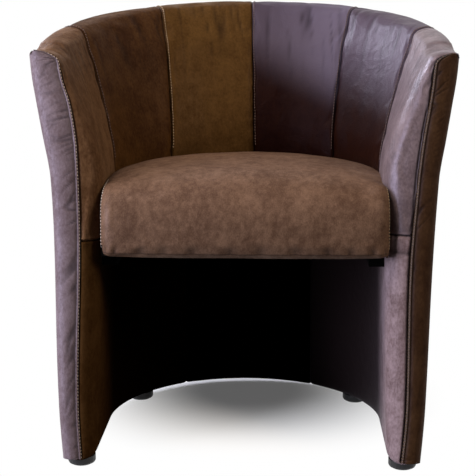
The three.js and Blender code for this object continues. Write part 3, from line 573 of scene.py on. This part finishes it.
oiled = dict(gloss=0.05, sheen=0.0)
polished = dict(smooth=0.34, matte=0.44, sheen=0.0)
# The wine tones are darkened further as painted shade for the panels' lower parts; both wine
# leathers paint a sheen near the rim, and the back-right panel's lit copy paints a stronger one
# that fades toward the left.
wine_tones = (0.006, 0.001, 0.0003), (0.014, 0.004, 0.0018)
brown = leather("oiled_leather", (0.055, 0.025, 0.01), (0.145, 0.079, 0.041), **oiled)
red_brown = leather("dark_leather", (0.026, 0.009, 0.002), (0.072, 0.033, 0.01), **oiled)
olive_brown = leather("olive_leather", (0.042, 0.019, 0.004), (0.09, 0.046, 0.013), **oiled)
wine_brown = leather("wine_leather", *wine_tones, gloss=0.1, top=(0.06, 0.044, 0.065), **polished)
wine_painted_highlight = leather(
    "wine_painted_highlight_leather", *wine_tones, gloss=0.03,
    top=(0.105, 0.088, 0.13), ramp=(0.61, 0.715, 0.44, 0.28), **polished,
)
grey_brown = leather(
    "grey_leather", (0.04, 0.024, 0.024), (0.15, 0.11, 0.118), smooth=0.34, matte=0.46,
    gloss=0.42, sheen=0.1,
)
# Each panel's first seam, second seam, leather and swell
inside_panels = {
    "inner_panel_arm_left": ("left_side", "left_front", brown, 3.0),
    "inner_panel_side_left": ("left_side", "left_back", red_brown, 4.5),
    "inner_panel_back_left": ("left_back", "middle", olive_brown, 4.5),
    "inner_panel_back_right": ("middle", "right_back", wine_painted_highlight, 4.5),
    "inner_panel_side_right": ("right_back", "right_side", wine_brown, 4.5),
    "inner_panel_arm_right": ("right_side", "right_front", grey_brown, 3.0),
}
covered = {
    "inner_panel_arm_left": ["arm_foam_left", "nose_foam_left"],
    "inner_panel_arm_right": ["arm_foam_right", "nose_foam_right"],
    "inner_panel_back_left": ["back_foam"], "inner_panel_back_right": ["rim_roll"],
}
panel_high, panel_air = 430, (0.4, 2, 0.004)
inside_lines = {}
for number, (name, (start, end, look, swell)) in enumerate(inside_panels.items()):
    def place(u, w):
        if "front" in end:
            side = -1 if "left" in end else 1
            return inside_spot(side * arm_station(seam_station(start, w), u), w)
        return inside_spot(mix(seam_station(start, w), seam_station(end, w), u), w)

    def lift(u, w, left, right):
        top, foot, edge = (1 - w) * panel_high, w * panel_high, min(left, right)
        folds = noise.noise(Vector((left * 0.022, w * 3.1, number * 3.1 + 20)))
        line = noise.noise(Vector((left * 0.05, w * 1.3, number * 7.3)))
        patch = noise.noise(Vector((left * 0.03, w * 4.5, number * 5.1 + 60)))
        below_crest = clamp((crest_share - w) * 5)
        gathered = clamp((w - 0.4) * 3) * below_crest * clamp(edge / 10) * clamp(0.5 + 1.8 * patch)
        gather = bell(line, 0.12) * gathered
        pucker = max(noise.noise(Vector((left * 0.16, number, 5))), 0) * bell(foot - 6, 9)
        high, low = mix(0.8, swell, below_crest), mix(1.4, 3.0, below_crest)
        soft = 50 if "front" in end else 18
        body = min(sunk_edge(left, high, low, 18, 2.4), sunk_edge(right, high, low, soft, 2.4))
        wave = 1.3 * folds * clamp(edge / 30) * below_crest
        sunk = 2.5 * bell(top, 3.5) + 2.5 * bell(foot, 3)
        rise = body - 2.2 * gather - 2.2 * pucker + wave - sunk
        # Painted light in the mark: shade in the gathers and puckers, darker along the seams, and a
        # highlight painted just above the foot seam.
        creased = -0.9 * gather - 0.8 * bell(edge, 1.8) - 0.6 * bell(foot, 2)
        return rise, creased + 0.4 * bell(foot - 4, 1.6) - 0.7 * pucker

    piece, inside_lines[name] = sheet_of(
        name + "_hide", 56, 96, place, lift, to_sitter, cloth=panel_air,
    )
    piece.data.materials.append(look)
    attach(piece, "root")
    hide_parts(name, *covered.get(name, []))


# ---- Facings ----
# A narrow hide over a thin pad on the front of each arm, sewn to the nose and top-stitched beside
# the seam; small creases lie across it.
facing_heights = (17, 30, 60, *range(100, 300, 60), 330, seam_level, *face_heights)
facing_angles = (18, 36, 54, 70, 84)
edge_round, edge_proud = 13, 1.6


def facing_outside(side, h):
    if h < rim_edge:
        return outer(front_end * side, h)
    angle = 180 - math.degrees(math.asin(clamp((h - rim_edge) / (back_rim - rim_edge))))
    return front_rim_at(side, angle)[0]


# The two facings are lit and shaded copies of one hide: the left's mauve is painted pale, the
# right's leather painted dark as shade, with a pale edge tone for its ridge's painted highlight.
mauve = leather(
    "mauve_leather", (0.076, 0.05, 0.053), (0.172, 0.134, 0.157), smooth=0.4, gloss=0.3,
    sheen=0.1, creases=0.6,
)
shaded_brown = leather(
    "shaded_leather", (0.018, 0.007, 0.002), (0.05, 0.025, 0.011), gloss=0.06, sheen=0.0,
    edge=(0.3, 0.22, 0.2),
)
facing_lines = {}
# Each facing's side, leather, and how strong its painted ridge highlight and its dark seam line are
facing_looks = {"left": (-1, mauve, 0.45, 0.9), "right": (1, shaded_brown, 1, 0.5)}
for label, (side, look, ridge_mark, seam_mark) in facing_looks.items():
    facing_seam = [(seam_width(side, h), h) for h in facing_heights]
    facing_seam += [front_rim_at(side, angle) for angle in facing_angles]
    facing_edge = [(facing_outside(side, h) + edge_proud, h) for _, h in facing_seam]

    def place(u, w):
        a, b = along(facing_seam, w), along(facing_edge, w)
        return spot(side * front_end, mix(a[0], b[0], u), mix(a[1], b[1], u))

    def lift(u, w, seam, edge):
        crease = noise.noise(Vector((u * 1.1, w * 42 - u * 1.6 * side, side * 5)))
        patch = noise.noise(Vector((u * 1.6, w * 9, side * 5 + 30)))
        held = clamp((seam - 5) / 3) * clamp(1.5 - 1.7 * u)
        ruck = bell(crease, 0.09) * clamp(0.7 + 2.6 * patch) * held
        corner = clamp(edge_round - edge, 0, edge_round - 0.5)
        rounded = 0.55 * (edge_round - math.sqrt(edge_round**2 - corner**2))
        ridge, groove = bell(seam - 2.6, 1.2), bell(seam - 5.5, 1.8)
        rise = 6 * math.sin(math.pi * u) ** 0.9 - 4 * bell(seam, 1.4) + 1.0 * ridge - 1.2 * groove
        # Painted light in the mark: a highlight on the ridge, darker in the seam, shade in the
        # groove and the creases, and a broad shade painted beside the seam.
        sewn = ridge_mark * ridge - seam_mark * bell(seam, 1.1) - 0.35 * groove
        return rise - 1.5 * ruck - rounded, sewn - 0.6 * ruck - 0.2 * bell(seam - 6, 14)

    piece, facing_lines[label] = sheet_of(
        f"facing_{label}_hide", 36, 300, place, lift, lambda point: Vector((0, -1, 0)), 0.6,
    )
    piece.data.materials.append(look)
    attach(piece, "root")
    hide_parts(f"facing_{label}", f"facing_pad_{label}")


# ---- Outer cover ----
# Three hides round the outside, smooth over wadding, seamed at 60 degrees either side of the back's
# middle; the foot is turned under the base rail and the top is sewn along the rim's outer edge.
outer_heights = (
    40, 70, *range(100, 400, 50), *range(400, 720, 40), 712, 732, rim_edge - 0.6,
)
cover_end, corner_round, cover_high = 219, 2, 760
outer_panels = {
    "outer_cover_left": (-cover_end, -59.7), "outer_cover_back": (-60, 60),
    "outer_cover_right": (59.7, cover_end),
}


def turned_foot(width_in, inward):
    """The foot of a hide, turned under the base rail, from its hidden edge to the wall."""
    foot = width_in(0)
    hidden = [(foot + inward * 14, 15.4), (foot + inward * 7, 15.4), (foot + inward * 2, 18.5)]
    return hidden + [(width_in(27), 27)]


def outside_profile(s):
    return turned_foot(functools.partial(outer, s), -1) + [(outer(s, h), h) for h in outer_heights]


def outside_spot(s, w):
    r, h = along(outside_profile(s), w)
    corner = clamp(corner_round - 0.7 * (cover_end - abs(s)), 0, corner_round)
    return spot(s, r - corner_round + math.sqrt(corner_round**2 - corner**2), h)


cover_brown = leather(
    "cover_leather", (0.045, 0.022, 0.012), (0.09, 0.055, 0.038), gloss=0.2, sheen=0.05,
)
for number, (name, (start, end)) in enumerate(outer_panels.items()):
    def place(u, w):
        return outside_spot(mix(start, end, u), w)

    def lift(u, w, left, right):
        waves = noise.noise(Vector((left * 0.008, w * 2.4, number * 9.1)))
        top = (1 - w) * cover_high
        seam = min(d for d, s in ((left, start), (right, end)) if abs(s) < cover_end)
        front = left if start == -cover_end else right if end == cover_end else 100
        body = sunk_edge(seam, 1.2, 2.6, 15) + 1.4 * waves * clamp(front / 60)
        return body - 2.0 * bell(top, 4), -0.8 * bell(seam, 2) - 0.8 * bell(top, 3)

    piece, _ = sheet_of(name + "_hide", 72, 110, place, lift, lambda point: -to_sitter(point), 0.6)
    piece.data.materials.append(cover_brown)
    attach(piece, "root")
    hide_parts(name, *(["outer_wadding"] if name == "outer_cover_back" else []))


# ---- Lower lining ----
# The inside of the wall below the seat: plain leather over wadding with painted shade darkening it
# toward the back, joined to the arm panels by a gathered seam at the seat's side and turned under
# the base rail.
lining_heights = (50, 100, 150, 200, 250, 300, 330, 355)
lining_high, lining_run = 370, 430
# Lengths along the lining at its stations
lining_lengths = ((29.7, 0), (arc_end, 255), (arm_end, 360), (front_end, lining_run))
lining_parts = {
    "lower_lining_left": (-front_end, -29.7), "lower_lining_back": (-30, 30),
    "lower_lining_right": (29.7, front_end),
}


def lining_profile(s, width_in):
    heights = (*lining_heights, seam_height(s) - 0.2)
    return turned_foot(width_in, 1) + [(width_in(h), h) for h in heights]


def lining_spot(s, w):
    if abs(s) <= arm_end:
        return spot(s, *along(lining_profile(s, functools.partial(inner, s)), w))
    side = side_of(s)
    start = along(lining_profile(arm_end * side, functools.partial(inner, arm_end)), w)
    end = along(lining_profile(front_end * side, functools.partial(seam_width, side)), w)
    return nose_spot(s, start, end)


# The back lining's near-black is painted shade under the seat.
lining_looks = {
    "lower_lining_left": leather(
        "lining_brown", (0.03, 0.013, 0.004), (0.06, 0.03, 0.011), gloss=0.0, sheen=0.0,
    ),
    "lower_lining_back": leather(
        "lining_dark", (0.006, 0.002, 0.001), (0.016, 0.006, 0.002), gloss=0.0, sheen=0.0,
    ),
    "lower_lining_right": leather(
        "lining_grey", (0.1, 0.065, 0.068), (0.29, 0.22, 0.245), gloss=0.03, sheen=0.15,
    ),
}
for number, (name, (start, end)) in enumerate(lining_parts.items()):
    def place(u, w):
        if name == "lower_lining_back":
            return lining_spot(mix(start, end, u), w)
        side = side_of(start)
        way = (1 - u if side < 0 else u) * lining_run
        return lining_spot(side * station_at(lining_lengths, way), w)

    def lift(u, w, left, right):
        top, edge = (1 - w) * lining_high, min(left, right)
        pucker = noise.noise(Vector((left * 0.16, w * 5, number * 4.7)))
        near_top = clamp(1 - top / 45)
        fold = bell(top - 32, 2.2) if "right" in name else 0
        # Painted shade: the mark darkens each lining toward the back, into the fold and the
        # puckers' hollows.
        shade_toward_back = 1 if "back" in name else clamp(((right if "right" in name else left) - 75) / 130)
        body = sunk_edge(edge, 1.0, 2.4, 15) + 2.2 * pucker * near_top
        creased = 0.8 * bell(edge, 2) + 0.6 * bell(top, 2) + 0.7 * fold
        hollow = 0.8 * max(-pucker, 0) * near_top
        return body - 2.6 * bell(top, 3.5) - 1.8 * fold, -creased - hollow - shade_toward_back

    piece, _ = sheet_of(name + "_hide", 72, 60, place, lift, to_sitter, 0.6)
    piece.data.materials.append(lining_looks[name])
    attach(piece, "root")
    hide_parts(name, *(["lower_wadding"] if name == "lower_lining_back" else []))


# ---- Seat cushion ----
# One hide over the top and down the front, a band round the sides and back; the foam pushes the
# hide out between its seams, and the front's lower edge is pulled in by its tacks.
seat_half, seat_front, seat_underside, seat_edge, seat_aside = 233.5, 48, 346, 462, 4.5
crown, bulge, waterfall, corner_back, tack_pitch = 25, 9, 66, 14, 37
seat_air = (0.4, 2, 0.0)
face_high = seat_edge - seat_underside
# Each row of the hide: how far back from the front, height, share of the crown, share of the bulge
hide_rows = [
    (14, seat_underside + 4, 0, 0.6), (6, seat_underside + 5, 0, 0.75),
    (1.2, seat_underside + 7.5, 0, 0.8), (0, seat_underside + 13, 0, 0.86),
    (1.1, seat_underside + face_high * 0.25, 0.05, 0.95),
    (3.5, seat_underside + face_high * 0.5, 0.12, 1),
    (waterfall * 0.14, seat_underside + face_high * 0.7, 0.22, 0.8),
    (waterfall * 0.3, seat_underside + face_high * 0.85, 0.38, 0.5),
    (waterfall * 0.58, seat_underside + face_high * 0.95, 0.58, 0.2),
    (waterfall, seat_edge, 0.8, 0),
]
# Each row of the top: its share of the way back and of the crown
top_rows = [(0.12, 0.9), (0.25, 0.97), (0.5, 1), (0.75, 0.85), (0.92, 0.45), (1, 0)]


def seat_spot(x, y, z):
    return Vector((x + seat_aside, y - wall_depth / 2, z)) * mm


def hide_spot(u, w):
    turn = math.radians(mix(-90, 90, u))
    across, rounded = math.sin(turn), math.cos(turn) ** 2
    back = arc_centre + seat_half * math.cos(turn)
    rows = [
        (seat_front + deep - bulge * out * rounded, z + crown * up * rounded)
        for deep, z, up, out in hide_rows
    ]
    start = seat_front + waterfall
    high = crown * math.cos(turn)
    rows += [(mix(start, back, run), seat_edge + high * up) for run, up in top_rows]
    y, z = along(rows, w)
    corner = corner_back * clamp((abs(across) - 0.93) / 0.07) ** 2 * clamp(4 - 5 * w)
    return seat_spot(seat_half * across, y + corner, z)


def hide_lift(u, w, left, right):
    edge = min(left, right)
    front = clamp((0.62 - w) * 5)
    wander = 2 * noise.noise(Vector((left * 0.02, 0, 9)))
    pull = 0.5 + 0.5 * math.cos(left * 2 * math.pi / tack_pitch + wander)
    scallop = bell(w - 0.19, 0.04) * pull**4
    dimple = noise.noise(Vector((left * 0.02, w * 4, 40)))
    rise = 3.5 * (1 - math.exp(-edge / 10)) * front - 3.2 * scallop
    lip = bell(edge - 2, 1.3) * front
    # Painted light in the mark: a highlight on the lip along the sides, shade in the scallops
    # between the tacks and a shade line painted along the front's lower edge.
    mark = 0.35 * lip - 0.5 * scallop - 0.6 * bell(w - 0.16, 0.012)
    return rise + 1.2 * dimple * clamp(edge / 20), mark


seat_brown = leather(
    "seat_leather", (0.06, 0.031, 0.018), (0.16, 0.096, 0.064), smooth=0.4, gloss=0.1,
    sheen=0.0, scale=2.2,
)
piece, hide_lines = sheet_of(
    "seat_hide", 96, 100, hide_spot, hide_lift, lambda point: Vector((0, -1, 0.2)), 0.0,
    cloth=seat_air,
)
piece.data.materials.append(seat_brown)
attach(piece, "root")
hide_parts("seat_cover", "seat_foam")

seam_front = [(deep, z) for deep, z, _, _ in hide_rows[3:]]
side_share = 0.24


def band_spot(u, w):
    z = mix(seat_underside, seat_edge, w)
    deep = waterfall
    for (a, low), (b, high) in zip(seam_front, seam_front[1:]):
        if z <= high:
            deep = mix(a, b, clamp((z - low) / (high - low)))
            break
    if u < side_share or u > 1 - side_share:
        side, t = (-1, u / side_share) if u < side_share else (1, (1 - u) / side_share)
        y = seat_front + mix(deep + corner_back, arc_centre - seat_front, t)
        return seat_spot(side * seat_half, y, z)
    turn = math.radians(mix(-90, 90, (u - side_share) / (1 - 2 * side_share)))
    return seat_spot(seat_half * math.sin(turn), arc_centre + seat_half * math.cos(turn), z)


def band_lift(u, w, left, right):
    edge = min(left, right, (1 - w) * face_high)
    return sunk_edge(edge, 1.5, 1.4, 8, 2.5), -0.7 * bell(edge, 2)


piece, _ = sheet_of(
    "seat_band_hide", 96, 24, band_spot, band_lift, lambda point: -to_sitter(point), 0.0,
)
piece.data.materials.append(seat_brown)
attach(piece, "root")
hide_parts("seat_band")


# ---- Topstitching ----
# Thread beside the seams, pale on some and dark on others: short stitches pressed into the hide at
# an even pitch, with a needle hole between each two, drawn as a near-black dot of painted shade.
def seam_path(lines, inset, from_left, first=0.0, last=1.0):
    """Points and normals beside one edge of a sheet, inset from it by that many millimetres."""
    path = []
    for row in lines[round(first * (len(lines) - 1)):round(last * (len(lines) - 1)) + 1]:
        row = row if from_left else row[::-1]
        gone = 0
        for (a, na), (b, nb) in zip(row, row[1:]):
            step = (b - a).length / mm
            if gone + step >= inset:
                f = (inset - gone) / step
                path.append((a.lerp(b, f), na.lerp(nb, f).normalized()))
                break
            gone += step
    return path


def stitch(name, path, look, pitch=5.4, long=3.7, thick=1.9):
    mesh = bmesh.new()
    want, gone = pitch / 2, 0
    # The stitch and the hole after it: length, shift along the seam, rise and material
    shapes = ((long, 0, 0.3, 0), (1.5, pitch / 2, 0.1, 1))
    for (a, na), (b, nb) in zip(path, path[1:]):
        step = (b - a).length / mm
        while step > 0 and gone + step >= want:
            f = (want - gone) / step
            at, up = a.lerp(b, f), na.lerp(nb, f).normalized()
            ahead = (b - a).normalized()
            aside = up.cross(ahead).normalized()
            up = ahead.cross(aside)
            for size, shift, rise, kind in shapes:
                made = bmesh.ops.create_icosphere(mesh, subdivisions=1, radius=0.5 * mm)["verts"]
                turn = Matrix((ahead * size, aside * thick, up * thick)).transposed().to_4x4()
                middle = at + (ahead * shift + up * rise) * mm
                bmesh.ops.transform(mesh, matrix=Matrix.Translation(middle) @ turn, verts=made)
                for face in {face for v in made for face in v.link_faces}:
                    face.material_index = kind
            want += pitch
        gone += step
    for face in mesh.faces:
        face.smooth = True
    thread = bpy.data.objects.new(name, bpy.data.meshes.new(name))
    mesh.to_mesh(thread.data)
    mesh.free()
    scene.collection.objects.link(thread)
    thread.data.materials.append(look)
    thread.data.materials.append(needle_hole)
    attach(thread, "root")


def plain_look(
    name, dark, light, rough, scale, stretched=(1, 1, 1), metal=0.0, gloss=0.3, detail=4,
):
    """A material of two tones, mixed by a noise that may be stretched along an axis."""
    made, tree = material(name)
    where = node(tree, "ShaderNodeTexCoord")
    turn = node(tree, "ShaderNodeMapping", {"Scale": stretched})
    figure = node(tree, "ShaderNodeTexNoise", {"Scale": scale, "Detail": detail})
    shade = node(tree, "ShaderNodeMix", {6: (*dark, 1), 7: (*light, 1)}, data_type="RGBA")
    finish = {"Roughness": rough, "Metallic": metal, "Specular IOR Level": gloss}
    shader = node(tree, "ShaderNodeBsdfPrincipled", finish)
    join(tree, where.outputs["Object"], turn.inputs["Vector"])
    join(tree, turn.outputs[0], figure.inputs["Vector"])
    join(tree, figure.outputs[0], shade.inputs[0])
    join(tree, shade.outputs[2], shader.inputs["Base Color"])
    join(tree, shader.outputs[0], node(tree, "ShaderNodeOutputMaterial").inputs[0])
    return made


def thread_look(name, colour):
    dark = [value * 0.6 for value in colour]
    return plain_look(name, dark, colour, 0.7, 900, gloss=0.5, detail=2)


pale_thread = thread_look("pale_thread", (0.5, 0.36, 0.22))
bright_thread = thread_look("bright_thread", (0.62, 0.52, 0.46))
dark_thread = thread_look("dark_thread", (0.07, 0.042, 0.025))
plum_thread = thread_look("plum_thread", (0.14, 0.085, 0.075))
# The needle hole is a near-black dot: painted shade where the hole is.
needle_hole = thread_look("needle_hole", (0.008, 0.004, 0.003))
for panel, from_left in (
    ("side_left", True), ("back_left", True), ("back_right", True), ("back_right", False),
    ("side_right", False),
):
    end = "start" if from_left else "end"
    look = pale_thread if panel == "back_left" else plum_thread
    path = seam_path(inside_lines["inner_panel_" + panel], 5, from_left, 0.2)
    stitch(f"stitches_{panel}_{end}", path, look)
# The right facing's dark stitches, wider than long, are thread and also paint the shade of the
# puckers by its seam.
for label, look, inset, long, thick in (
    ("left", bright_thread, 4.5, 3.7, 1.8), ("right", dark_thread, 6.5, 2.4, 4.5),
):
    path = seam_path(facing_lines[label], inset, True)
    stitch(f"stitches_facing_{label}", path, look, long=long, thick=thick)
for label, look in (("left", bright_thread), ("right", pale_thread)):
    stitch(f"stitches_seat_{label}", seam_path(hide_lines, 4, label == "left", 0.2, 0.62), look)


# ---- Frame, boards, webbing and feet ----
# Parts that stay as the solids show them: plywood and hardboard with a faint figure, cloth,
# woven bands, steel and black plastic.
upright = (1, 1, 8)
plain_looks = {
    "plywood": plain_look("plywood", (0.25, 0.15, 0.08), (0.48, 0.31, 0.18), 0.7, 12, upright),
    # Near-black wood for the seat's frame and ledges, painted as dark as the shade under the seat.
    "near_black_wood": plain_look(
        "near_black_wood", (0.001, 0.001, 0.001), (0.003, 0.003, 0.003), 0.85, 12, upright, gloss=0.02,
    ),
    "hardboard": plain_look("hardboard", (0.09, 0.05, 0.03), (0.16, 0.1, 0.06), 0.75, 60),
    "black_cloth": plain_look(
        "black_cloth", (0.004, 0.004, 0.004), (0.012, 0.012, 0.013), 0.9, 400, gloss=0.05,
    ),
    "webbing": plain_look(
        "webbing", (0.02, 0.018, 0.016), (0.06, 0.055, 0.05), 0.85, 300, (1, 4, 1),
    ),
    "black_plastic": plain_look(
        "black_plastic", (0.008, 0.008, 0.009), (0.016, 0.016, 0.018), 0.42, 150,
    ),
    "steel": plain_look(
        "steel", (0.45, 0.46, 0.48), (0.6, 0.61, 0.62), 0.35, 80, metal=1.0, gloss=0.5,
    ),
}
# The words in a node's name that give it each look
node_looks = {
    "plywood": ("rail", "post", "rib"), "near_black_wood": ("seat_ledge", "seat_frame"),
    "hardboard": ("board",), "black_cloth": ("base_strip", "dust_cloth"),
    "webbing": ("webbing",), "black_plastic": ("foot",), "steel": ("screw",),
}
for name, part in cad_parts.items():
    for look, words in node_looks.items():
        if any(word in name for word in words):
            part.data.materials.clear()
            part.data.materials.append(plain_looks[look])
